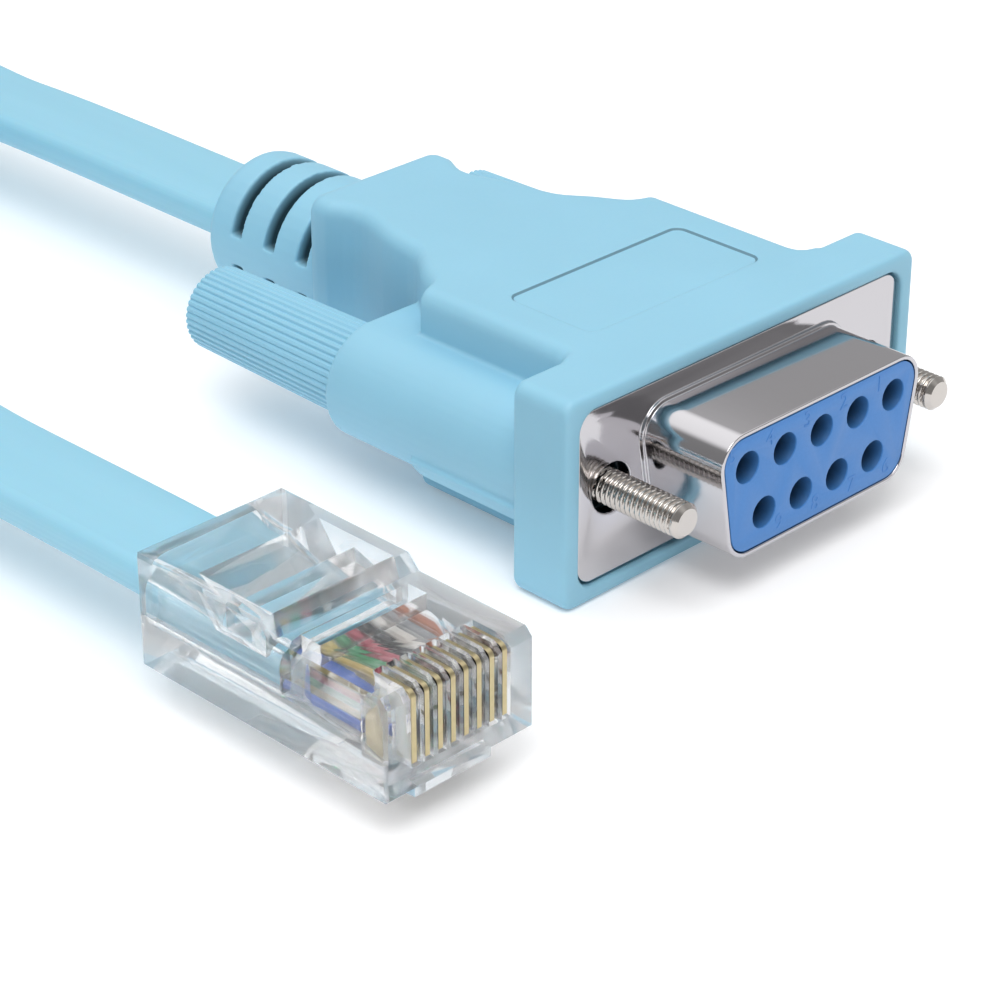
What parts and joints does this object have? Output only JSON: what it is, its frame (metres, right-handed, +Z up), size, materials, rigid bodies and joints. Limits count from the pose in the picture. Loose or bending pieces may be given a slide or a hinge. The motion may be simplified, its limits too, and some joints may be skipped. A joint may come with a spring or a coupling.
{
  "type": "console cable",
  "caption": "Flat pale-blue console cable: a D-shaped socket connector with thumbscrews on one end, a clear modular plug on the other, the spare cord tied in a coil",
  "frame": {"origin": "on the floor, under the middle of the D-shaped connector (shell mouth to strain-relief end, thumbscrew to thumbscrew)", "axes": "+Z up; -Y is the way the D-shaped connector mates; +Y is where its cord leaves; +X is to the right as seen from behind the shell, looking at the mating side from the cord"},
  "size_m": [0.108, 0.1784, 0.0182],
  "materials": {
    "blue_pvc": "moulded PVC, satin",
    "blue_cord": "extruded soft PVC jacket",
    "nickel_plate": "drawn steel, nickel plated",
    "blue_insulator": "moulded PBT",
    "gold_contact": "gold flash on copper alloy",
    "screw_steel": "rolled thread, nickel plated",
    "clear_polycarbonate": "clear moulded polycarbonate",
    "core_blue": "core insulation",
    "core_yellow": "core insulation",
    "core_green": "core insulation",
    "core_red": "core insulation",
    "core_black": "core insulation",
    "core_white": "core insulation",
    "core_grey": "core insulation",
    "core_brown": "core insulation",
    "black_tie": "woven hook-and-loop strap"
  },
  "bodies": {
    "connector": {"hood": "blue_pvc", "front_shell": "nickel_plate", "insulator": "blue_insulator", "socket_contact_1": "gold_contact", "socket_contact_2": "gold_contact", "socket_contact_3": "gold_contact", "socket_contact_4": "gold_contact", "socket_contact_5": "gold_contact", "socket_contact_6": "gold_contact", "socket_contact_7": "gold_contact", "socket_contact_8": "gold_contact", "socket_contact_9": "gold_contact", "plug_housing": "clear_polycarbonate", "plug_contact_1": "gold_contact", "plug_contact_2": "gold_contact", "plug_contact_3": "gold_contact", "plug_contact_4": "gold_contact", "plug_contact_5": "gold_contact", "plug_contact_6": "gold_contact", "plug_contact_7": "gold_contact", "plug_contact_8": "gold_contact", "conductor_1": "core_blue", "conductor_2": "core_yellow", "conductor_3": "core_green", "conductor_4": "core_red", "conductor_5": "core_black", "conductor_6": "core_white", "conductor_7": "core_grey", "conductor_8": "core_brown", "cable_to_connector": "blue_cord", "cable_to_plug": "blue_cord", "cable_coil": "blue_cord", "coil_tie": "black_tie"},
    "thumbscrew_left": {"screw_left": "screw_steel", "knob_left": "blue_pvc"},
    "thumbscrew_right": {"screw_right": "screw_steel", "knob_right": "blue_pvc"}
  },
  "joints": [
    {"name": "thumbscrew_left_turn", "type": "hinge", "parent": "connector", "child": "thumbscrew_left", "pos_m": [-0.01249, 0.01, 0.0074], "axis": [0, 1, 0], "continuous": true},
    {"name": "thumbscrew_right_turn", "type": "hinge", "parent": "connector", "child": "thumbscrew_right", "pos_m": [0.01249, 0.01, 0.0074], "axis": [0, 1, 0], "continuous": true}
  ]
}
